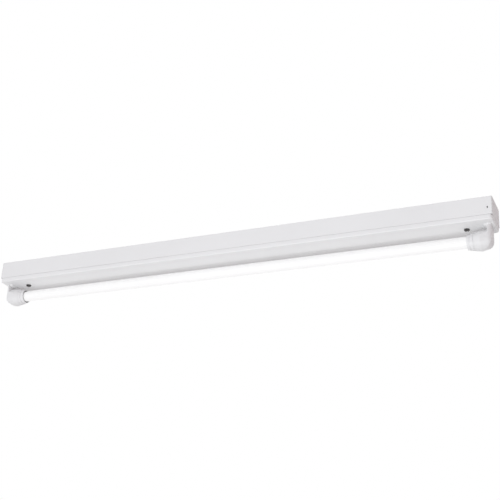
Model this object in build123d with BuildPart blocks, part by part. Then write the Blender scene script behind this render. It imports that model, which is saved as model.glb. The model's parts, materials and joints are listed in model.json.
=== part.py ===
"""Trough ceiling light: a steel channel that bolts to the ceiling, a drop-down lower cover that carries
the gear and two sealed lampholders, and one straight tube lamp between them.

Frame: millimetres, +Z up, X along the fixture, origin at the middle of the ceiling face.
"""

import os

from build123d import *

# Body: folded steel sheet
body_width = 75.0
housing_height = 43.5
cover_height = 11.3
sheet = 1.0
bend_radius = 2.0
seam_gap = 0.4
cover_corner = 8.0
cover_round = 3.0
lip_height = 8.0
lip_clearance = 0.4
lip_inset = 10.0
end_margin = 7.5

# Ceiling fixing slots and the supply cable inlet
slot_pitch = 900.0
slot_length = 25.0
slot_width = 9.0
inlet_gap = 35.0
inlet_bore_radius = 7.0
grommet_wall = 2.0
grommet_flange = 3.0
grommet_lip = 2.0

# End plate flanges and the locating slots that show in the side walls at the right end
flange_depth = 18.0
flange_top = 4.0
flange_room = 5.4
locator_inset = 10.0
locator_rise = 4.0
locator_width = 2.0
locator_height = 5.4

# Cover screws and the bridges they thread into
screw_inset = 63.0
screw_head_radius = 6.0
screw_head_height = 3.4
screw_head_round = 1.1
screw_slot_width = 2.0
screw_slot_depth = 1.8
screw_radius = 2.5
screw_hole_clearance = 0.4
thread_clearance = 0.05
bridge_width = 30.0
bridge_room = 1.4
bridge_flange = 14.0
nut_across_flats = 8.0
nut_height = 5.0
screw_past_nut = 2.0
earth_screw_radius = 2.0
earth_head_radius = 3.8
earth_head_height = 2.6
earth_screw_length = 5.0
earth_offset_x = 8.0
earth_offset_y = 20.0

# Lamp: straight tube with two-pin caps
lamp_length = 1198.0
lamp_diameter = 26.0
glass_wall = 0.8
cap_length = 24.0
cap_wall = 0.5
cap_fit = 0.1
cap_step = 0.05
cap_end = 1.5
pin_pitch = 12.7
pin_diameter = 2.4
pin_length = 7.1
pin_root = 1.5
stem_length = 28.0
stem_radius = 4.5
filament_wire = 0.4
filament_width = 9.0
filament_standoff = 6.0

# Collar ring and gasket at each holder's mouth
gasket_wall = 1.85
gasket_length = 5.0
gasket_clearance = 0.3
gasket_recess = 1.0
collar_length = 14.5
collar_mouth_wall = 1.0
collar_back_wall = 3.2
collar_clearance = 0.35
collar_joint_gap = 0.3
collar_groove_at = 0.5
collar_groove_width = 1.6
collar_groove_depth = 0.7

# Lampholders: elbows with a round drum that swells to a belly, a rounded heel, a neck and a foot
cap_clearance = 0.5
cap_overlap = 11.0
spigot_wall = 2.4
spigot_length = 8.0
drum_step = 0.25
belly_rise = 2.6
belly_run = 15.0
belly_gap = 9.9
end_taper = 15.0
end_wall = 5.05
end_length = 9.5
end_radius = 11.5
heel_round = 25.0
neck_length = 9.0
foot_overhang = 8.5
foot_edge = 8.0
foot_corner = 6.0
foot_thickness = 4.5
foot_taper = 45.0
holder_screw_radius = 1.5
holder_screw_head_radius = 2.8
holder_screw_head_height = 2.0
holder_screw_depth = 9.0
holder_screw_inset = 3.2
holder_screw_spread = 12.0

# Pin carriers, plunger spring and contact blades inside the holders
holder_clearance = 0.6
lip_gap = 0.1
lip_step = 0.65
carrier_thickness = 5.0
hub_wall = 0.3
hub_floor = 0.85
running_clearance = 0.06
pin_hole_clearance = 0.15
lamp_push = 8.0
push_end_gap = 0.4
spring_wire = 0.9
spring_turns = 2.0
blade_thickness = 0.8
blade_width = 5.0
blade_inset = 5.8
blade_below_axis = 3.0
blade_top_gap = 7.0
blade_clearance = 0.3

# Control gear on the cover's floor
gear_length = 300.0
gear_width = 40.0
gear_sheet = 0.8
gear_lug = 12.0
gear_lid_skirt = 8.0
gear_lid_gap = 0.3
gear_lid_room = 3.8
board_end_gap = 5.2
board_side_gap = 2.2
board_thickness = 1.6
board_standoff = 5.0
board_post_radius = 2.0
board_post_inset = 8.5
choke_length = 32.0
choke_width = 26.0
choke_height = 15.0
choke_corner = 3.0
choke_x = 60.0
capacitor_radius = 6.0
capacitor_height = 17.0
capacitor_round = 1.0
capacitor_x = -70.0
stud_radius = 2.0
stud_height = 6.0
stud_nut_across_flats = 7.0
stud_nut_height = 3.0

# Push-in terminal block with two release buttons
terminal_gap = 13.0
terminal_length = 30.0
terminal_width = 20.0
terminal_height = 18.0
terminal_corner = 1.0
terminal_hole_radius = 1.6
terminal_hole_depth = 12.0
terminal_hole_height = 6.0
button_length = 7.0
button_width = 4.0
button_depth = 6.0
button_inset = 7.5
button_round = 0.5
button_proud = 2.0
button_travel = 1.5
button_clearance = 0.2
pole_pitch = 10.0

# Leads that stay inside the fixture, and their clips
lead_radius = 0.9
lead_bend = 5.0
lead_height = 5.0
lead_jog = 22.5
lead_terminal_gap = 3.7
lead_hole_clearance = 0.6
supply_lead_height = 9.0
clip_length = 5.0
clip_wall = 2.0
clip_clearance = 0.1
clips_per_run = 2

# Radii round the lamp's axis, worked outwards from the lamp
lamp_radius = lamp_diameter / 2
pin_radius = pin_diameter / 2
cap_bore_radius = lamp_radius + cap_clearance
chamber_radius = cap_bore_radius + lip_step
spigot_radius = cap_bore_radius + spigot_wall
collar_lip_bore = lamp_radius + gasket_wall + 2 * gasket_clearance
collar_mouth_radius = collar_lip_bore + collar_mouth_wall
collar_bore = spigot_radius + collar_clearance
collar_back_radius = collar_bore + collar_back_wall
drum_radius = collar_back_radius + drum_step
belly_radius = drum_radius + belly_rise
taper_radius = chamber_radius + end_wall
carrier_hub_radius = pin_pitch / 2 + pin_radius + pin_hole_clearance + hub_wall
spring_mean_radius = (carrier_hub_radius + chamber_radius) / 2

# Heights
seam_z = -housing_height
cover_top_z = seam_z - seam_gap
underside_z = seam_z - cover_height
floor_z = underside_z + sheet
lip_top_z = cover_top_z + lip_height
bridge_top_z = lip_top_z + bridge_room + sheet
flange_bottom_z = lip_top_z + flange_room
locator_z = flange_bottom_z + locator_rise
lamp_z = underside_z - belly_gap - belly_radius
lead_z = floor_z + lead_height
blade_top_z = underside_z - blade_top_gap
blade_bottom_z = lamp_z - blade_below_axis
lamp_axis = Axis((0, 0, lamp_z), (1, 0, 0))

# Places along the fixture, outwards from the lamp's cap face
cap_face_x = lamp_length / 2
drum_start = cap_face_x - cap_overlap
belly_x = drum_start + belly_run
taper_x = belly_x + end_taper
holder_end = taper_x + end_length
spigot_start = drum_start - spigot_length
collar_end = drum_start - collar_joint_gap
collar_start = collar_end - collar_length
neck_start = holder_end - neck_length
foot_start = neck_start - foot_overhang
blade_x = neck_start + blade_inset
holder_screw_x = neck_start + holder_screw_inset
carrier_face_x = cap_face_x + holder_clearance
lip_end_x = carrier_face_x - lip_gap
carrier_back_x = carrier_face_x + carrier_thickness
pin_hole_depth = pin_length - holder_clearance + pin_hole_clearance
plunger_end_x = carrier_face_x + pin_hole_depth + hub_floor
chamber_end = plunger_end_x + lamp_push + push_end_gap
half_length = holder_end + end_margin
body_length = 2 * half_length
channel_half = half_length - sheet
screw_x = half_length - screw_inset
locator_x = half_length - locator_inset
gear_half = gear_length / 2
terminal_x = gear_half + gear_lug + terminal_gap + terminal_length / 2
terminal_face_x = terminal_x + terminal_length / 2
inlet_x = terminal_face_x + inlet_gap

# Places across the fixture
half_width = body_width / 2
inner_half_width = half_width - sheet
lip_outer = inner_half_width - lip_clearance
end_slope = (taper_radius - belly_radius) / end_taper
blade_y = pin_pitch / 2
lead_y = terminal_width / 2 + lead_terminal_gap + lead_radius
foot_half_width = holder_screw_spread + foot_edge
grommet_hole_radius = inlet_bore_radius + grommet_wall
sides = (("left", -1), ("right", 1))
pair = (-1, 1)

os.makedirs("parts", exist_ok=True)


def write(builder, node):
    """Label a finished piece and write it under its node name."""
    builder.part.label = node
    export_step(builder.part, f"parts/{node}.step")


# Housing channel: an inverted U of sheet with ceiling slots, cable inlet and locating slots
with BuildPart() as housing_channel:
    with BuildSketch(Plane.YZ) as channel_section:
        with BuildLine():
            Polyline(
                (-half_width, seam_z),
                (-half_width, 0),
                (half_width, 0),
                (half_width, seam_z),
                (inner_half_width, seam_z),
                (inner_half_width, -sheet),
                (-inner_half_width, -sheet),
                (-inner_half_width, seam_z),
                close=True,
            )
        make_face()
        fillet(channel_section.vertices().group_by(Axis.Y)[-1], radius=bend_radius)
    extrude(amount=channel_half, both=True)
    with BuildSketch(Plane.XY):
        with GridLocations(slot_pitch, 0, 2, 1):
            SlotOverall(slot_length, slot_width)
        with Locations((inlet_x, 0)):
            Circle(grommet_hole_radius)
    extrude(amount=-sheet, mode=Mode.SUBTRACT)
    with Locations((locator_x, 0, locator_z)):
        Box(locator_width, body_width, locator_height, mode=Mode.SUBTRACT)
write(housing_channel, "housing_channel")

# End plates: flat end with a flange inside each side wall, slotted in line with the wall
for side, sign in sides:
    with BuildPart() as end_plate:
        with BuildSketch(Plane.YZ.offset(sign * channel_half)) as plate_section:
            with Locations((0, seam_z / 2)):
                Rectangle(body_width, housing_height)
            fillet(plate_section.vertices().group_by(Axis.Y)[-1], radius=bend_radius)
        extrude(amount=sign * sheet)
        flange_x = channel_half - flange_depth / 2
        flange_y = inner_half_width - sheet / 2
        flange_z = (flange_bottom_z - flange_top) / 2
        with Locations(*[(sign * flange_x, wall * flange_y, flange_z) for wall in pair]):
            Box(flange_depth, sheet, -flange_top - flange_bottom_z)
        if side == "right":
            with Locations((locator_x, 0, locator_z)):
                Box(locator_width, body_width, locator_height, mode=Mode.SUBTRACT)
    write(end_plate, f"end_plate_{side}")

# Bridges across the channel that take the cover screws
for side, sign in sides:
    with BuildPart() as bridge:
        with Locations((sign * screw_x, 0, bridge_top_z - sheet / 2)):
            Box(bridge_width, 2 * inner_half_width, sheet)
        wing_y = inner_half_width - sheet / 2
        wing_z = bridge_top_z + bridge_flange / 2
        with Locations(*[(sign * screw_x, wall * wing_y, wing_z) for wall in pair]):
            Box(bridge_width, sheet, bridge_flange)
        with BuildSketch(Plane.XY.offset(bridge_top_z)):
            with Locations((sign * screw_x, 0)):
                Circle(screw_radius + screw_hole_clearance)
            if side == "right":
                with Locations((sign * (screw_x + earth_offset_x), earth_offset_y)):
                    Circle(earth_screw_radius + thread_clearance)
        extrude(amount=-sheet, mode=Mode.SUBTRACT)
    write(bridge, f"bridge_{side}")

with BuildPart() as bridge_nuts:
    with BuildSketch(Plane.XY.offset(bridge_top_z)):
        with GridLocations(2 * screw_x, 0, 2, 1):
            RegularPolygon(nut_across_flats / 2, 6, major_radius=False)
            Circle(screw_radius + thread_clearance, mode=Mode.SUBTRACT)
    extrude(amount=nut_height)
write(bridge_nuts, "bridge_nuts")

with BuildPart() as earth_screw:
    with BuildSketch(Plane.XY.offset(bridge_top_z)):
        with Locations((screw_x + earth_offset_x, earth_offset_y)):
            Circle(earth_head_radius)
    extrude(amount=earth_head_height)
    with BuildSketch(Plane.XY.offset(bridge_top_z)):
        with Locations((screw_x + earth_offset_x, earth_offset_y)):
            Circle(earth_screw_radius)
    extrude(amount=-earth_screw_length)
write(earth_screw, "earth_screw")

# Rubber grommet in the cable inlet
with BuildPart() as inlet_grommet:
    with BuildSketch(Plane.XY.offset(-sheet)):
        with Locations((inlet_x, 0)):
            Circle(grommet_hole_radius + grommet_flange)
            Circle(inlet_bore_radius, mode=Mode.SUBTRACT)
    extrude(amount=-grommet_lip)
    with BuildSketch(Plane.XY.offset(-sheet)):
        with Locations((inlet_x, 0)):
            Circle(grommet_hole_radius)
            Circle(inlet_bore_radius, mode=Mode.SUBTRACT)
    extrude(amount=sheet)
write(inlet_grommet, "inlet_grommet")

# Lower cover: a shallow pan, rounded below, whose inner lips slide up inside the channel
with BuildPart() as lower_cover:
    with BuildSketch(Plane.XY.offset(underside_z)):
        RectangleRounded(body_length, body_width, cover_corner)
    extrude(amount=cover_top_z - underside_z)
    fillet(lower_cover.edges().group_by(Axis.Z)[0], radius=cover_round)
    offset(amount=-sheet, openings=lower_cover.faces().sort_by(Axis.Z)[-1])
    lip_length = body_length - 2 * lip_inset
    ledge_width = half_width - lip_outer + sheet
    with Locations(*[(0, wall * (half_width - ledge_width / 2), cover_top_z - sheet / 2) for wall in pair]):
        Box(lip_length, ledge_width, sheet)
    with Locations(*[(0, wall * (lip_outer - sheet / 2), (cover_top_z + lip_top_z) / 2) for wall in pair]):
        Box(lip_length, sheet, lip_height)
    with BuildSketch(Plane.XY.offset(underside_z)):
        with GridLocations(2 * screw_x, 0, 2, 1):
            Circle(screw_radius + screw_hole_clearance)
        with GridLocations(2 * holder_screw_x, 2 * holder_screw_spread, 2, 2):
            Circle(holder_screw_radius + thread_clearance)
        with GridLocations(2 * blade_x, 2 * blade_y, 2, 2):
            Circle(lead_radius + lead_hole_clearance)
    extrude(amount=sheet, mode=Mode.SUBTRACT)
write(lower_cover, "lower_cover")

# Cover screws: slotted heads under the cover, captive in it
with BuildPart() as cover_screws:
    with BuildSketch(Plane.XY.offset(underside_z)):
        with GridLocations(2 * screw_x, 0, 2, 1):
            Circle(screw_head_radius)
    extrude(amount=-screw_head_height)
    fillet(cover_screws.edges().group_by(Axis.Z)[0], radius=screw_head_round)
    with BuildSketch(Plane.XY.offset(underside_z - screw_head_height)):
        with GridLocations(2 * screw_x, 0, 2, 1):
            Rectangle(screw_slot_width, 2 * screw_head_radius)
    extrude(amount=screw_slot_depth, mode=Mode.SUBTRACT)
    with BuildSketch(Plane.XY.offset(underside_z)):
        with GridLocations(2 * screw_x, 0, 2, 1):
            Circle(screw_radius)
    extrude(amount=bridge_top_z + nut_height + screw_past_nut - underside_z)
write(cover_screws, "cover_screws")


def end_outline(sign, base):
    """Draw a holder's end outline from its belly outwards, as radii measured from base."""
    Line((sign * belly_x, base + belly_radius), (sign * taper_x, base + taper_radius))
    TangentArc(
        (sign * taper_x, base + taper_radius),
        (sign * holder_end, base + end_radius),
        tangent=(sign, end_slope),
    )


# Lampholders: a half round saddle and a neck cut to the end's outline, a turned drum, a rounded heel
# and a foot plate with a bevelled rim
for side, sign in sides:
    with BuildPart() as holder:
        with BuildSketch(Plane.YZ.offset(sign * belly_x)):
            with Locations((0, lamp_z)):
                Circle(belly_radius)
            with Locations((0, lamp_z - belly_radius / 2)):
                Rectangle(2 * belly_radius, belly_radius, mode=Mode.SUBTRACT)
        extrude(amount=sign * (holder_end - belly_x))
        with Locations((sign * (neck_start + holder_end) / 2, 0, (underside_z + lamp_z) / 2)):
            Box(neck_length, 2 * belly_radius, underside_z - lamp_z)
        with BuildSketch(Plane.XY.offset(underside_z)):
            with BuildLine():
                end_outline(sign, 0)
                Polyline(
                    (sign * holder_end, end_radius),
                    (sign * holder_end, 0),
                    (sign * belly_x, 0),
                    (sign * belly_x, belly_radius),
                )
            make_face()
            mirror(about=Plane.XZ)
        extrude(amount=lamp_z - underside_z, mode=Mode.INTERSECT)
        with BuildSketch(Plane.XZ):
            with BuildLine():
                end_outline(sign, lamp_z)
                Polyline(
                    (sign * holder_end, lamp_z + end_radius),
                    (sign * holder_end, lamp_z),
                    (sign * spigot_start, lamp_z),
                    (sign * spigot_start, lamp_z + spigot_radius),
                    (sign * drum_start, lamp_z + spigot_radius),
                    (sign * drum_start, lamp_z + drum_radius),
                    (sign * belly_x, lamp_z + belly_radius),
                )
            make_face()
        revolve(axis=lamp_axis)
        heel_z = lamp_z - belly_radius + heel_round
        with BuildSketch(Plane.XZ):
            with Locations((sign * (holder_end - heel_round), heel_z)):
                Circle(heel_round)
            with Locations((sign * (spigot_start + holder_end - heel_round) / 2, (underside_z + lamp_z) / 2)):
                Rectangle(holder_end - heel_round - spigot_start, underside_z - lamp_z + 2 * belly_radius)
            with Locations((sign * (spigot_start + holder_end) / 2, (underside_z + heel_z) / 2)):
                Rectangle(holder_end - spigot_start, underside_z - heel_z)
        extrude(amount=belly_radius, both=True, mode=Mode.INTERSECT)
        with BuildSketch(Plane.XY.offset(underside_z)):
            with Locations((sign * (foot_start + holder_end) / 2, 0)):
                RectangleRounded(holder_end - foot_start, 2 * foot_half_width, foot_corner)
        extrude(amount=-foot_thickness, taper=foot_taper)
        with BuildSketch(Plane.XZ):
            bore_steps = (
                (spigot_start, lip_end_x, cap_bore_radius),
                (lip_end_x, chamber_end, chamber_radius),
            )
            for start, end, radius in bore_steps:
                with Locations((sign * (start + end) / 2, lamp_z + radius / 2)):
                    Rectangle(end - start, radius)
        revolve(axis=lamp_axis, mode=Mode.SUBTRACT)
        pocket_bottom_z = blade_bottom_z - blade_clearance
        pocket_z = (underside_z + pocket_bottom_z) / 2
        with Locations(*[(sign * blade_x, wall * blade_y, pocket_z) for wall in pair]):
            Box(
                2 * (lead_radius + blade_clearance),
                blade_width + 2 * blade_clearance,
                underside_z - pocket_bottom_z,
                mode=Mode.SUBTRACT,
            )
        with BuildSketch(Plane.XY.offset(underside_z)):
            with Locations(*[(sign * holder_screw_x, wall * holder_screw_spread) for wall in pair]):
                Circle(holder_screw_radius + thread_clearance)
        extrude(amount=-holder_screw_depth, mode=Mode.SUBTRACT)
    write(holder, f"lampholder_{side}")

with BuildPart() as holder_screws:
    with BuildSketch(Plane.XY.offset(floor_z)):
        with GridLocations(2 * holder_screw_x, 2 * holder_screw_spread, 2, 2):
            Circle(holder_screw_head_radius)
    extrude(amount=holder_screw_head_height)
    with BuildSketch(Plane.XY.offset(floor_z)):
        with GridLocations(2 * holder_screw_x, 2 * holder_screw_spread, 2, 2):
            Circle(holder_screw_radius)
    extrude(amount=-holder_screw_depth)
write(holder_screws, "holder_screws")

# Pin carriers: a sprung plunger in the left holder, a fixed carrier in the right one
carrier_radius = chamber_radius - running_clearance
for sign, hub_end, node in ((-1, plunger_end_x, "plunger_left"), (1, chamber_end, "pin_carrier_right")):
    with BuildPart() as carrier:
        with BuildSketch(Plane.XZ):
            carrier_steps = (
                (carrier_face_x, carrier_back_x, carrier_radius),
                (carrier_back_x, hub_end, carrier_hub_radius),
            )
            for start, end, radius in carrier_steps:
                with Locations((sign * (start + end) / 2, lamp_z + radius / 2)):
                    Rectangle(end - start, radius)
        revolve(axis=lamp_axis)
        with BuildSketch(Plane.YZ.offset(sign * carrier_face_x)):
            with Locations(*[(pin * pin_pitch / 2, lamp_z) for pin in pair]):
                Circle(pin_radius + pin_hole_clearance)
        extrude(amount=sign * pin_hole_depth, mode=Mode.SUBTRACT)
    write(carrier, node)

# Plunger spring: a helix between the plunger and the holder's back wall
spring_start = carrier_back_x + spring_wire / 2 + running_clearance
spring_end = chamber_end - spring_wire / 2 - running_clearance
spring_pitch = (spring_end - spring_start) / spring_turns
with BuildPart() as plunger_spring:
    with BuildLine():
        spring_path = Helix(
            spring_pitch,
            spring_end - spring_start,
            spring_mean_radius,
            center=(-spring_start, 0, lamp_z),
            direction=(-1, 0, 0),
        )
    with BuildSketch(Plane(spring_path @ 0, z_dir=spring_path % 0)):
        Circle(spring_wire / 2)
    sweep(path=spring_path, is_frenet=True)
write(plunger_spring, "plunger_spring")

# Contact blades behind each carrier, two to a holder
for side, sign in sides:
    with BuildPart() as blades:
        blade_z = (blade_top_z + blade_bottom_z) / 2
        with Locations(*[(sign * blade_x, wall * blade_y, blade_z) for wall in pair]):
            Box(blade_thickness, blade_width, blade_top_z - blade_bottom_z)
    write(blades, f"contact_blades_{side}")

# Lamp: glass tube necked in at its ends, metal caps, pins, stems and filaments
neck_radius = lamp_radius - cap_step - cap_wall - cap_fit
glass_end_x = cap_face_x - cap_end - cap_fit
cap_start_x = cap_face_x - cap_length
with BuildPart() as lamp_tube:
    with BuildSketch(Plane.XZ):
        with BuildLine():
            Polyline(
                (-glass_end_x, lamp_z),
                (-glass_end_x, lamp_z + neck_radius),
                (-cap_start_x + cap_fit, lamp_z + neck_radius),
                (-cap_start_x + cap_fit, lamp_z + lamp_radius),
                (cap_start_x - cap_fit, lamp_z + lamp_radius),
                (cap_start_x - cap_fit, lamp_z + neck_radius),
                (glass_end_x, lamp_z + neck_radius),
                (glass_end_x, lamp_z),
                (glass_end_x - glass_wall, lamp_z),
                (glass_end_x - glass_wall, lamp_z + neck_radius - glass_wall),
                (-glass_end_x + glass_wall, lamp_z + neck_radius - glass_wall),
                (-glass_end_x + glass_wall, lamp_z),
                close=True,
            )
        make_face()
    revolve(axis=lamp_axis)
write(lamp_tube, "lamp_tube")

cap_radius = lamp_radius - cap_step
for side, sign in sides:
    with BuildPart() as lamp_cap:
        with BuildSketch(Plane.YZ.offset(sign * cap_start_x)):
            with Locations((0, lamp_z)):
                Circle(cap_radius)
        extrude(amount=sign * cap_length)
        with BuildSketch(Plane.YZ.offset(sign * cap_start_x)):
            with Locations((0, lamp_z)):
                Circle(cap_radius - cap_wall)
        extrude(amount=sign * (cap_length - cap_end), mode=Mode.SUBTRACT)
        with BuildSketch(Plane.YZ.offset(sign * cap_face_x)):
            with Locations(*[(pin * pin_pitch / 2, lamp_z) for pin in pair]):
                Circle(pin_radius)
        extrude(amount=-sign * pin_root, mode=Mode.SUBTRACT)
    write(lamp_cap, f"lamp_cap_{side}")

with BuildPart() as lamp_pins:
    for _, sign in sides:
        with BuildSketch(Plane.YZ.offset(sign * (cap_face_x - pin_root))):
            with Locations(*[(pin * pin_pitch / 2, lamp_z) for pin in pair]):
                Circle(pin_radius)
        extrude(amount=sign * (pin_length + pin_root))
write(lamp_pins, "lamp_pins")

stem_root_x = glass_end_x - glass_wall
with BuildPart() as lamp_stems:
    for _, sign in sides:
        with BuildSketch(Plane.YZ.offset(sign * stem_root_x)):
            with Locations((0, lamp_z)):
                Circle(stem_radius)
        extrude(amount=-sign * stem_length)
write(lamp_stems, "lamp_stems")

with BuildPart() as lamp_filaments:
    for _, sign in sides:
        stem_tip_x = stem_root_x - stem_length
        post_y = stem_radius - filament_wire
        for wall in pair:
            with BuildSketch(Plane.YZ.offset(sign * stem_tip_x)):
                with Locations((wall * post_y, lamp_z)):
                    Circle(filament_wire)
            extrude(amount=-sign * filament_standoff)
        with BuildSketch(Plane.XZ.offset(-filament_width / 2)):
            with Locations((sign * (stem_tip_x - filament_standoff), lamp_z)):
                Circle(filament_wire)
        extrude(amount=filament_width)
write(lamp_filaments, "lamp_filaments")

# Collar rings with their gaskets: the ring screws on to the spigot and squeezes the gasket on the lamp
groove_x = collar_start + collar_groove_at * collar_length
groove_front = groove_x - collar_groove_width / 2
groove_back = groove_x + collar_groove_width / 2
groove_radius = collar_mouth_radius + collar_groove_at * (collar_back_radius - collar_mouth_radius)
gasket_start = collar_start + gasket_recess
for side, sign in sides:
    with BuildPart() as collar_ring:
        with BuildSketch(Plane.XZ):
            with BuildLine():
                Polyline(
                    (sign * collar_start, lamp_z + collar_lip_bore),
                    (sign * collar_start, lamp_z + collar_mouth_radius),
                    (sign * groove_front, lamp_z + groove_radius),
                    (sign * groove_front, lamp_z + groove_radius - collar_groove_depth),
                    (sign * groove_back, lamp_z + groove_radius - collar_groove_depth),
                    (sign * groove_back, lamp_z + groove_radius + collar_groove_depth),
                    (sign * collar_end, lamp_z + collar_back_radius),
                    (sign * collar_end, lamp_z + collar_bore),
                    (sign * (spigot_start - collar_joint_gap), lamp_z + collar_bore),
                    (sign * (spigot_start - collar_joint_gap), lamp_z + collar_lip_bore),
                    close=True,
                )
            make_face()
        revolve(axis=lamp_axis)
    write(collar_ring, f"collar_ring_{side}")

for side, sign in sides:
    with BuildPart() as gasket:
        with BuildSketch(Plane.YZ.offset(sign * gasket_start)):
            with Locations((0, lamp_z)):
                Circle(collar_lip_bore - gasket_clearance)
                Circle(lamp_radius + gasket_clearance, mode=Mode.SUBTRACT)
        extrude(amount=sign * gasket_length)
    write(gasket, f"gasket_{side}")

# Control gear: sheet case, lid, circuit board, choke and capacitor
gear_floor_z = floor_z + gear_sheet
board_z = gear_floor_z + board_standoff
board_top_z = board_z + board_thickness
lid_z = board_top_z + max(choke_height, capacitor_height) + gear_lid_room
board_length = gear_length - 2 * (gear_sheet + board_end_gap)
board_width = gear_width - 2 * (gear_sheet + board_side_gap)
with BuildPart() as gear_case:
    with Locations((0, 0, floor_z + gear_sheet / 2)):
        Box(gear_length + 2 * gear_lug, gear_width, gear_sheet)
    with BuildSketch(Plane.XY.offset(gear_floor_z)):
        Rectangle(gear_length, gear_width)
        Rectangle(gear_length - 2 * gear_sheet, gear_width - 2 * gear_sheet, mode=Mode.SUBTRACT)
    extrude(amount=lid_z - gear_floor_z)
    with BuildSketch(Plane.XY.offset(floor_z)):
        with GridLocations(gear_length + gear_lug, 0, 2, 1):
            Circle(stud_radius + thread_clearance)
    extrude(amount=gear_sheet, mode=Mode.SUBTRACT)
write(gear_case, "gear_case")

with BuildPart() as gear_lid:
    with BuildSketch(Plane.XY.offset(lid_z)):
        Rectangle(gear_length, gear_width + 2 * (gear_sheet + gear_lid_gap))
    extrude(amount=gear_sheet)
    skirt_y = gear_width / 2 + gear_lid_gap + gear_sheet / 2
    with Locations(*[(0, wall * skirt_y, lid_z - gear_lid_skirt / 2) for wall in pair]):
        Box(gear_length, gear_sheet, gear_lid_skirt)
write(gear_lid, "gear_lid")

with BuildPart() as gear_board:
    with BuildSketch(Plane.XY.offset(board_z)):
        Rectangle(board_length, board_width)
    extrude(amount=board_thickness)
    with BuildSketch(Plane.XY.offset(board_z)):
        with GridLocations(board_length - 2 * board_post_inset, board_width - 2 * board_post_inset, 2, 2):
            Circle(board_post_radius)
    extrude(amount=-board_standoff)
write(gear_board, "gear_board")

with BuildPart() as gear_choke:
    with BuildSketch(Plane.XY.offset(board_top_z)):
        with Locations((choke_x, 0)):
            RectangleRounded(choke_length, choke_width, choke_corner)
    extrude(amount=choke_height)
write(gear_choke, "gear_choke")

with BuildPart() as gear_capacitor:
    with BuildSketch(Plane.XY.offset(board_top_z)):
        with Locations((capacitor_x, 0)):
            Circle(capacitor_radius)
    extrude(amount=capacitor_height)
    fillet(gear_capacitor.edges().group_by(Axis.Z)[-1], radius=capacitor_round)
write(gear_capacitor, "gear_capacitor")

with BuildPart() as gear_studs:
    with BuildSketch(Plane.XY.offset(floor_z)):
        with GridLocations(gear_length + gear_lug, 0, 2, 1):
            Circle(stud_radius)
    extrude(amount=stud_height)
write(gear_studs, "gear_studs")

with BuildPart() as gear_nuts:
    with BuildSketch(Plane.XY.offset(gear_floor_z)):
        with GridLocations(gear_length + gear_lug, 0, 2, 1):
            RegularPolygon(stud_nut_across_flats / 2, 6, major_radius=False)
            Circle(stud_radius + thread_clearance, mode=Mode.SUBTRACT)
    extrude(amount=stud_nut_height)
write(gear_nuts, "gear_nuts")

# Terminal block with push-in entries facing the cable inlet
terminal_top_z = floor_z + terminal_height
button_x = terminal_face_x - button_inset
button_bottom_z = terminal_top_z - button_depth + button_travel + button_clearance
with BuildPart() as terminal_block:
    with BuildSketch(Plane.XY.offset(floor_z)):
        with Locations((terminal_x, 0)):
            RectangleRounded(terminal_length, terminal_width, terminal_corner)
    extrude(amount=terminal_height)
    with BuildSketch(Plane.YZ.offset(terminal_face_x)):
        with Locations(*[(pole * pole_pitch / 2, floor_z + terminal_hole_height) for pole in pair]):
            Circle(terminal_hole_radius)
    extrude(amount=-terminal_hole_depth, mode=Mode.SUBTRACT)
    with BuildSketch(Plane.XY.offset(terminal_top_z)):
        with Locations(*[(button_x, pole * pole_pitch / 2) for pole in pair]):
            Rectangle(button_length + 2 * button_clearance, button_width + 2 * button_clearance)
    extrude(amount=-button_depth, mode=Mode.SUBTRACT)
write(terminal_block, "terminal_block")

for pole, node in ((-1, "release_button_live"), (1, "release_button_neutral")):
    with BuildPart() as release_button:
        with BuildSketch(Plane.XY.offset(button_bottom_z)):
            with Locations((button_x, pole * pole_pitch / 2)):
                Rectangle(button_length, button_width)
        extrude(amount=terminal_top_z + button_proud - button_bottom_z)
        fillet(release_button.edges().group_by(Axis.Z)[-1], radius=button_round)
    write(release_button, node)

# Leads from the gear to the holders, and from the terminal block to the gear
for side, sign in sides:
    with BuildPart() as leads:
        for wall in pair:
            with BuildLine() as lead_line:
                FilletPolyline(
                    (sign * blade_x, wall * blade_y, blade_top_z),
                    (sign * blade_x, wall * blade_y, lead_z),
                    (sign * (blade_x - lead_jog), wall * lead_y, lead_z),
                    (sign * gear_half, wall * lead_y, lead_z),
                    radius=lead_bend,
                )
            lead_start = Plane((sign * blade_x, wall * blade_y, blade_top_z), z_dir=(0, 0, 1))
            with BuildSketch(lead_start):
                Circle(lead_radius)
            sweep(path=lead_line.line)
    write(leads, f"leads_{side}")

with BuildPart() as supply_leads:
    with BuildSketch(Plane.YZ.offset(gear_half)):
        with Locations(*[(pole * pole_pitch / 2, floor_z + supply_lead_height) for pole in pair]):
            Circle(lead_radius)
    extrude(amount=terminal_x - terminal_length / 2 - gear_half)
write(supply_leads, "supply_leads")

clip_top_z = lead_z + lead_radius + clip_wall
clip_pitch = (blade_x - gear_half) / (clips_per_run + 1)
clip_offsets = [gear_half + (step + 1) * clip_pitch for step in range(clips_per_run)]
clip_xs = [sign * offset for sign in pair for offset in clip_offsets]
with BuildPart() as lead_clips:
    with Locations(*[(x, 0, (floor_z + clip_top_z) / 2) for x in clip_xs]):
        Box(clip_length, 2 * (lead_y + lead_radius + clip_wall), clip_top_z - floor_z)
    with BuildSketch(Plane.YZ.offset(-half_length)):
        with Locations(*[(wall * lead_y, lead_z) for wall in pair]):
            Circle(lead_radius + clip_clearance)
    extrude(amount=body_length, mode=Mode.SUBTRACT)
write(lead_clips, "lead_clips")
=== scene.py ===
"""Trough ceiling light on a pale ground: materials, the plunger's spring, camera and light."""

import json
import math

import bmesh
import bpy
from mathutils import Matrix, Vector


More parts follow.
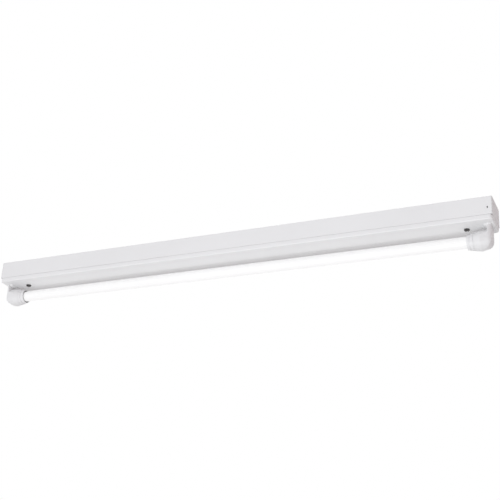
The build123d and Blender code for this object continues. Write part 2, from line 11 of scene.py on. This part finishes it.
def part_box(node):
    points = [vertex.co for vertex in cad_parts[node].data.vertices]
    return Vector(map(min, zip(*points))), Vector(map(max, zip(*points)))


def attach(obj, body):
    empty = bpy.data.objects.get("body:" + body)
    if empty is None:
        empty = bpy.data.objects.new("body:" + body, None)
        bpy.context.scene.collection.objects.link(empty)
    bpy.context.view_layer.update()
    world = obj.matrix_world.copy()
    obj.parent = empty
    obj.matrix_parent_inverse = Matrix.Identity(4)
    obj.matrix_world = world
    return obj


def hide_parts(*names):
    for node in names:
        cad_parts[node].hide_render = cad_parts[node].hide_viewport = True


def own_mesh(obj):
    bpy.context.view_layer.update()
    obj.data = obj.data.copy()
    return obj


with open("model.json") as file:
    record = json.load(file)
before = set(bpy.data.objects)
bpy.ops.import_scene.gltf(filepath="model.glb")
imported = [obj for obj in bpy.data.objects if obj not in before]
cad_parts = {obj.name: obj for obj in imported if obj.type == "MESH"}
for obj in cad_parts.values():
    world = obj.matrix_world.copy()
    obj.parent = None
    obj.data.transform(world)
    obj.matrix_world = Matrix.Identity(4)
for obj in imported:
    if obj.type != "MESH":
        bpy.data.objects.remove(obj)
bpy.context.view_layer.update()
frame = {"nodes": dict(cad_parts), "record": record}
nodes = frame["nodes"]
scene = bpy.context.scene
scene.view_settings.view_transform = "Standard"

# Surfaces: the middle range of a noise value, and how far a normal turns along an edge
noise_low = 0.3
noise_high = 0.7
color_detail = 4.0
rough_detail = 3.0
grain_detail = 2.0
rough_finer = 5.0
bevel_samples = 6
flat_edge_dot = 0.98
full_edge_dot = 0.80
white = (1.0, 1.0, 1.0)
# Painted brightness: a weak white emission that keeps the tube's shaded sides near white
painted_tube_glow = 0.29

# Stem glass: lengths in metres
stem_color = (0.92, 0.95, 0.94)
stem_rough = 0.05
stem_clear = 0.9
stem_grain = 400.0
stem_bump = 0.05
stem_bump_depth = 0.0002

# Plunger spring: the wire in metres, its closed and active turns, and how finely the coil is drawn
spring_wire = 0.0009
spring_active_turns = 2.0
spring_closed_turns = 0.75
spring_steps = 40
spring_sides = 12

# Camera fitted to the photograph: place in metres, angles in degrees, lens and sensor in millimetres
camera_place = (1.0058, -1.9873, -1.0424)
camera_yaw = 25.52
camera_pitch = 24.55
camera_roll = 3.81
camera_lens = 73.66
camera_sensor = 36.0

# Ground and light: lengths in metres, power in watts
floor_size = 80.0
floor_height = -5.0
floor_near = 10.0
floor_near_glow = 0.43
floor_far = 38.0
floor_far_glow = 0.56
key_place = (0.1, -2.424, -2.19)
key_target = (0.0, -0.224, 0.16)
key_width = 2.4
key_height = 1.786
key_power = 48.5
key_color = (0.96, 0.985, 1.0)
fill_place = (0.0, 1.8, 2.2)
fill_target = (0.0, 0.0, 0.0)
fill_width = 2.0
fill_height = 1.2
fill_power = 22.0
sky_left = (0.808, 0.822, 0.844)
sky_left_at = 0.0
sky_right = (0.400, 0.297, 0.304)
sky_right_at = 0.9


# Materials

finishes = {}


def new_material(name):
    """A node material with a principled shader, kept under its slot's name."""
    material = bpy.data.materials.new("look_" + name)
    finishes[name] = material
    material.use_nodes = True
    tree = material.node_tree
    return material, tree, tree.nodes["Principled BSDF"]


def add(tree, kind, **values):
    """Add a node; names with a capital letter are input sockets, the rest are properties."""
    node = tree.nodes.new(kind)
    for key, value in values.items():
        if key[0].isupper():
            node.inputs[key.replace("_", " ")].default_value = value
        else:
            setattr(node, key, value)
    return node


def noise(tree, scale, detail=3.0, stretch=(1.0, 1.0, 1.0)):
    """A noise texture in the object's own metres, stretched along an axis where wanted."""
    place = add(tree, "ShaderNodeTexCoord")
    mapping = add(tree, "ShaderNodeMapping", Scale=stretch)
    tree.links.new(place.outputs["Object"], mapping.inputs["Vector"])
    texture = add(tree, "ShaderNodeTexNoise", Scale=scale, Detail=detail)
    tree.links.new(mapping.outputs["Vector"], texture.inputs["Vector"])
    return texture.outputs["Fac"]


def span(tree, value, low, high):
    """Map a noise value from its usual middle range to low and high."""
    mapped = add(tree, "ShaderNodeMapRange", From_Min=noise_low, From_Max=noise_high, To_Min=low, To_Max=high)
    tree.links.new(value, mapped.inputs["Value"])
    return mapped.outputs["Result"]


def ramp_colors(tree, value, start, first, end, second):
    """A colour that goes from first at start to second at end as value rises."""
    ramp = add(tree, "ShaderNodeValToRGB")
    for element, position, color in zip(ramp.color_ramp.elements, (start, end), (first, second)):
        element.position = position
        element.color = (*color, 1.0)
    tree.links.new(value, ramp.inputs["Fac"])
    return ramp.outputs["Color"]


def bump(tree, shader, height, strength, distance, edge=0.0):
    """Give a shader a bump from a height value, over edges rounded by a radius in metres."""
    node = add(tree, "ShaderNodeBump", Strength=strength, Distance=distance)
    tree.links.new(height, node.inputs["Height"])
    if edge:
        rounded = add(tree, "ShaderNodeBevel", samples=bevel_samples, Radius=edge)
        tree.links.new(rounded.outputs["Normal"], node.inputs["Normal"])
    tree.links.new(node.outputs["Normal"], shader.inputs["Normal"])


def edge_mask(tree, radius):
    """One along the edges of a surface and nought on its flats."""
    rounded = add(tree, "ShaderNodeBevel", samples=bevel_samples, Radius=radius)
    flat = add(tree, "ShaderNodeNewGeometry")
    dot = add(tree, "ShaderNodeVectorMath", operation="DOT_PRODUCT")
    tree.links.new(rounded.outputs["Normal"], dot.inputs[0])
    tree.links.new(flat.outputs["Normal"], dot.inputs[1])
    mask = add(tree, "ShaderNodeMapRange", From_Min=flat_edge_dot, From_Max=full_edge_dot,
               To_Min=0.0, To_Max=1.0)
    tree.links.new(dot.outputs["Value"], mask.inputs["Value"])
    return mask.outputs["Result"]


def mix_colors(tree, fac, first, second):
    """Mix a colour output with a fixed colour by a factor output."""
    mixed = add(tree, "ShaderNodeMix", data_type="RGBA")
    tree.links.new(fac, mixed.inputs["Factor"])
    tree.links.new(first, mixed.inputs["A"])
    mixed.inputs["B"].default_value = (*second, 1.0)
    return mixed.outputs["Result"]


def surface(name, dark, light, rough, patch=6.0, grain=900.0, strength=0.08, depth=0.0002,
            stretch=(1.0, 1.0, 1.0), metallic=0.0, edge=0.0, edge_wear_and_highlight=None):
    """A surface with slow colour variation, uneven roughness, a fine grain and edges of another colour, which
    show use and, on the dark screws, a painted highlight.
    """
    material, tree, shader = new_material(name)
    color = ramp_colors(tree, noise(tree, patch, color_detail, stretch), noise_low, dark, noise_high, light)
    # Edges mixed to another colour: wear on the enamel, and on the dark screws a painted highlight
    if edge_wear_and_highlight:
        color = mix_colors(tree, edge_mask(tree, edge), color, edge_wear_and_highlight)
    tree.links.new(color, shader.inputs["Base Color"])
    roughness = span(tree, noise(tree, patch * rough_finer, rough_detail, stretch), *rough)
    tree.links.new(roughness, shader.inputs["Roughness"])
    bump(tree, shader, noise(tree, grain, grain_detail, stretch), strength, depth, edge)
    shader.inputs["Metallic"].default_value = metallic
    return material


surface("white_enamel", dark=(0.835, 0.835, 0.840), light=(0.862, 0.862, 0.866), rough=(0.42, 0.54),
        patch=5.0, strength=0.10, edge=0.0010, edge_wear_and_highlight=(0.79, 0.79, 0.79))
surface("zinc_steel", dark=(0.58, 0.59, 0.60), light=(0.68, 0.69, 0.69), rough=(0.28, 0.42),
        patch=60.0, grain=2500.0, stretch=(0.15, 1.0, 1.0), metallic=1.0, edge=0.0003)
# Dark screws: the lighter rims along their edges and slot are a painted highlight, partly rubbed metal
surface("dark_screw", dark=(0.028, 0.026, 0.025), light=(0.050, 0.046, 0.044), rough=(0.34, 0.50),
        patch=300.0, edge=0.0004, edge_wear_and_highlight=(0.20, 0.19, 0.18))
surface("holder_plastic", dark=(0.812, 0.812, 0.818), light=(0.836, 0.836, 0.840), rough=(0.32, 0.42),
        patch=20.0, grain=1400.0, edge=0.0008)
surface("collar_plastic", dark=(0.83, 0.83, 0.838), light=(0.852, 0.852, 0.858), rough=(0.34, 0.44),
        patch=20.0, grain=1400.0, edge=0.0006)
surface("carrier_plastic", dark=(0.70, 0.70, 0.67), light=(0.76, 0.76, 0.73), rough=(0.45, 0.55),
        patch=40.0, edge=0.0003)
surface("black_rubber", dark=(0.022, 0.022, 0.023), light=(0.042, 0.041, 0.040), rough=(0.6, 0.75),
        patch=80.0, strength=0.2)
surface("contact_brass", dark=(0.66, 0.50, 0.24), light=(0.75, 0.60, 0.32), rough=(0.25, 0.4),
        patch=120.0, metallic=1.0)
surface("spring_steel", dark=(0.50, 0.50, 0.51), light=(0.58, 0.58, 0.59), rough=(0.25, 0.35),
        patch=150.0, metallic=1.0)
opal = surface("lamp_glass", dark=(0.715, 0.715, 0.710), light=(0.735, 0.735, 0.732), rough=(0.10, 0.16),
               patch=4.0, strength=0.02)
surface("cap_aluminium", dark=(0.74, 0.74, 0.75), light=(0.82, 0.82, 0.82), rough=(0.25, 0.35),
        patch=90.0, metallic=1.0)
surface("circuit_board", dark=(0.06, 0.22, 0.10), light=(0.09, 0.28, 0.13), rough=(0.3, 0.4), patch=60.0)
surface("ferrite", dark=(0.07, 0.07, 0.075), light=(0.11, 0.11, 0.115), rough=(0.6, 0.7),
        patch=80.0, strength=0.3)
surface("capacitor_sleeve", dark=(0.03, 0.04, 0.14), light=(0.04, 0.06, 0.18), rough=(0.18, 0.25), patch=60.0)
surface("terminal_plastic", dark=(0.74, 0.74, 0.71), light=(0.79, 0.79, 0.76), rough=(0.3, 0.4),
        patch=40.0, edge=0.0004)
surface("button_plastic", dark=(0.72, 0.26, 0.05), light=(0.78, 0.31, 0.07), rough=(0.3, 0.4), patch=80.0)
surface("lead_insulation", dark=(0.78, 0.78, 0.76), light=(0.83, 0.83, 0.81), rough=(0.4, 0.5), patch=50.0)

# Painted brightness: the tube's base colour is lowered and a weak white emission lifts its shaded sides to near
# white
opal_shader = opal.node_tree.nodes["Principled BSDF"]
opal_shader.inputs["Emission Color"].default_value = (*white, 1.0)
opal_shader.inputs["Emission Strength"].default_value = painted_tube_glow

_, stem_tree, stem_shader = new_material("stem_glass")
stem_shader.inputs["Base Color"].default_value = (*stem_color, 1.0)
stem_shader.inputs["Roughness"].default_value = stem_rough
stem_shader.inputs["Transmission Weight"].default_value = stem_clear
bump(stem_tree, stem_shader, noise(stem_tree, stem_grain), stem_bump, stem_bump_depth)

for subpart in frame["record"]["subparts"]:
    mesh = nodes[subpart["node"]].data
    mesh.materials.clear()
    mesh.materials.append(finishes[subpart["material_slot"]])


# Plunger spring: a coil with closed ends, carried by the cover

def spring_advance(turn, length):
    """How far along the coil's axis a number of turns has come; the end turns lie close together."""
    closed = spring_closed_turns * spring_wire
    if turn < spring_closed_turns:
        return turn * spring_wire
    if turn > spring_closed_turns + spring_active_turns:
        return length - (2 * spring_closed_turns + spring_active_turns - turn) * spring_wire
    return closed + (turn - spring_closed_turns) * (length - 2 * closed) / spring_active_turns


def coil(name, low, high):
    """A round wire wound about the X axis inside a box."""
    wire_radius = spring_wire / 2
    radius = (high[1] - low[1] - spring_wire) / 2
    length = high[0] - low[0] - spring_wire
    middle = Vector((low[0] + wire_radius, (low[1] + high[1]) / 2, (low[2] + high[2]) / 2))
    along = Vector((1.0, 0.0, 0.0))
    turns = 2 * spring_closed_turns + spring_active_turns
    count = round(turns * spring_steps)
    shape = bmesh.new()
    rings = []
    for step in range(count + 1):
        turn = turns * step / count
        angle = math.tau * turn
        outward = Vector((0.0, math.cos(angle), math.sin(angle)))
        point = middle + along * spring_advance(turn, length) + outward * radius
        ring = []
        for side in range(spring_sides):
            lean = math.tau * side / spring_sides
            offset = outward * math.cos(lean) + along * math.sin(lean)
            ring.append(shape.verts.new(point + offset * wire_radius))
        rings.append(ring)
    for first, second in zip(rings, rings[1:]):
        for side in range(spring_sides):
            after = (side + 1) % spring_sides
            shape.faces.new((first[side], first[after], second[after], second[side])).smooth = True
    shape.faces.new(rings[0])
    shape.faces.new(rings[-1])
    bmesh.ops.recalc_face_normals(shape, faces=shape.faces)
    mesh = bpy.data.meshes.new(name)
    shape.to_mesh(mesh)
    shape.free()
    result = bpy.data.objects.new(name, mesh)
    scene.collection.objects.link(result)
    return result


spring_low, spring_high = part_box("plunger_spring")
spring = coil("plunger_spring_coil", spring_low, spring_high)
spring.data.materials.append(finishes["spring_steel"])
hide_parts("plunger_spring")
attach(spring, "cover")
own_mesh(spring)


# Camera

def camera_matrix(place, yaw, pitch, roll):
    """Camera matrix from its place and its angles in degrees; pitch looks up and roll leans clockwise."""
    yaw, pitch, roll = (math.radians(angle) for angle in (yaw, pitch, roll))
    forward = Vector((-math.sin(yaw) * math.cos(pitch), math.cos(yaw) * math.cos(pitch), math.sin(pitch)))
    right = Vector((math.cos(yaw), math.sin(yaw), 0.0))
    up = right.cross(forward)
    right, up = right * math.cos(roll) + up * math.sin(roll), up * math.cos(roll) - right * math.sin(roll)
    matrix = Matrix((right, up, -forward)).transposed().to_4x4()
    matrix.translation = place
    return matrix


camera_data = bpy.data.cameras.new("camera")
camera_data.sensor_width = camera_sensor
camera_data.lens = camera_lens
camera = bpy.data.objects.new("camera", camera_data)
camera.matrix_world = camera_matrix(camera_place, camera_yaw, camera_pitch, camera_roll)
scene.collection.objects.link(camera)
scene.camera = camera


# Ground: a floor far below the light, brightened where it is seen as a background and fading to white

def plane(name, size, height):
    """A square plane as a mesh of its own."""
    mesh = bpy.data.meshes.new(name)
    shape = bmesh.new()
    bmesh.ops.create_grid(shape, x_segments=1, y_segments=1, size=size / 2)
    shape.to_mesh(mesh)
    shape.free()
    result = bpy.data.objects.new(name, mesh)
    result.location.z = height
    scene.collection.objects.link(result)
    return result


def background_rays(tree):
    """Socket that is 1 for the rays that show a background: camera, glossy and transmission rays."""
    path = add(tree, "ShaderNodeLightPath")
    seen = add(tree, "ShaderNodeMath", operation="MAXIMUM")
    tree.links.new(path.outputs["Is Camera Ray"], seen.inputs[0])
    tree.links.new(path.outputs["Is Glossy Ray"], seen.inputs[1])
    through = add(tree, "ShaderNodeMath", operation="MAXIMUM")
    tree.links.new(seen.outputs[0], through.inputs[0])
    tree.links.new(path.outputs["Is Transmission Ray"], through.inputs[1])
    return through.outputs[0]


floor = plane("floor", floor_size, floor_height)
paint = surface("floor_paint", dark=(0.69, 0.683, 0.672), light=(0.71, 0.703, 0.692), rough=(0.8, 0.9),
                patch=1.0)
paint_tree = paint.node_tree
floor_point = add(paint_tree, "ShaderNodeTexCoord")
away = add(paint_tree, "ShaderNodeVectorMath", operation="LENGTH")
paint_tree.links.new(floor_point.outputs["Object"], away.inputs[0])
fade = add(paint_tree, "ShaderNodeMapRange", From_Min=floor_near, From_Max=floor_far,
           To_Min=floor_near_glow, To_Max=floor_far_glow)
paint_tree.links.new(away.outputs["Value"], fade.inputs["Value"])
pale = add(paint_tree, "ShaderNodeMath", operation="MULTIPLY")
paint_tree.links.new(background_rays(paint_tree), pale.inputs[0])
paint_tree.links.new(fade.outputs["Result"], pale.inputs[1])
paint_shader = paint_tree.nodes["Principled BSDF"]
paint_shader.inputs["Emission Color"].default_value = (*white, 1.0)
paint_tree.links.new(pale.outputs[0], paint_shader.inputs["Emission Strength"])
floor.data.materials.append(paint)


# Light: a soft key from below and in front, a fill from above and behind, and a sky that is dimmer on the right

def area_light(name, place, target, width, height, power, color):
    """A soft rectangular light aimed at a point."""
    data = bpy.data.lights.new(name, "AREA")
    data.shape = "RECTANGLE"
    data.size = width
    data.size_y = height
    data.energy = power
    data.color = color
    light = bpy.data.objects.new(name, data)
    light.location = place
    light.rotation_euler = (Vector(target) - Vector(place)).to_track_quat("-Z", "Y").to_euler()
    scene.collection.objects.link(light)


area_light("key", key_place, key_target, key_width, key_height, key_power, key_color)
area_light("fill", fill_place, fill_target, fill_width, fill_height, fill_power, white)

world = bpy.data.worlds.new("studio")
scene.world = world
world.use_nodes = True
sky = world.node_tree
sky.nodes.clear()
place = add(sky, "ShaderNodeTexCoord")
axes = add(sky, "ShaderNodeSeparateXYZ")
sky.links.new(place.outputs["Generated"], axes.inputs["Vector"])
sky_color = ramp_colors(sky, axes.outputs["X"], sky_left_at, sky_left, sky_right_at, sky_right)
light_sky = add(sky, "ShaderNodeBackground", Strength=1.0)
sky.links.new(sky_color, light_sky.inputs["Color"])
white_sky = add(sky, "ShaderNodeBackground", Color=(*white, 1.0), Strength=1.0)
mix = add(sky, "ShaderNodeMixShader")
sky.links.new(background_rays(sky), mix.inputs["Fac"])
sky.links.new(light_sky.outputs[0], mix.inputs[1])
sky.links.new(white_sky.outputs[0], mix.inputs[2])
output = add(sky, "ShaderNodeOutputWorld")
sky.links.new(mix.outputs[0], output.inputs["Surface"])
